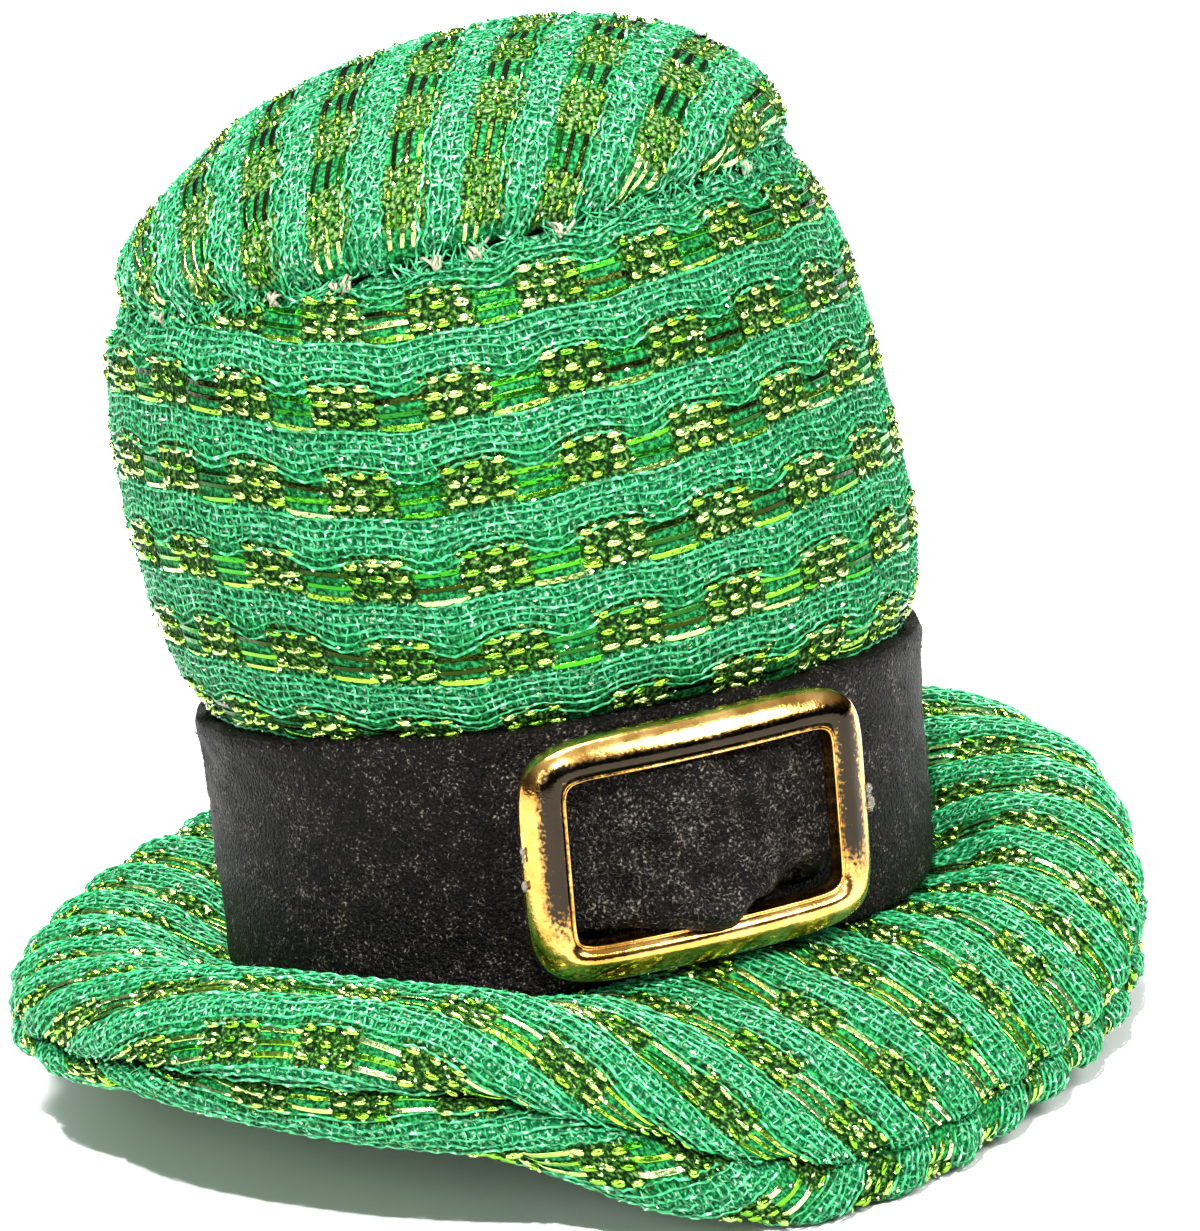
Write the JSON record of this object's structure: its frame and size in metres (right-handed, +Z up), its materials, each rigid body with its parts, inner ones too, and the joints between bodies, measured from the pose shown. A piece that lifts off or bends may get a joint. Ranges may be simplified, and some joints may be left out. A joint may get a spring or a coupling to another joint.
{
  "type": "mini top hat hair clip",
  "caption": "Small floppy costume top hat on a hair clip: leaning metallic cloth crown with a domed tip, felt band with a gold buckle, padded wavy brim.",
  "frame": {"origin": "centre of the brim's outline on the surface that the hat stands on", "axes": "+Z up, the buckle at the front towards -Y, +X to the right as seen from the front"},
  "size_m": [0.0639, 0.0622, 0.0574],
  "materials": {
    "green_cloth": "open green gauze with woven stripes of green and lime metallic tape over foam",
    "black_felt": "pressed black felt with a nap",
    "gold_plating": "moulded plastic with a bright gold metallised coat",
    "clip_steel": "plain stamped and plated steel"
  },
  "bodies": {
    "root": {"crown_side": "green_cloth", "crown_tip": "green_cloth", "brim_upper": "green_cloth", "brim_under": "green_cloth", "hat_band": "black_felt", "buckle_strap": "black_felt", "buckle": "gold_plating", "hair_clip": "clip_steel"}
  },
  "joints": []
}
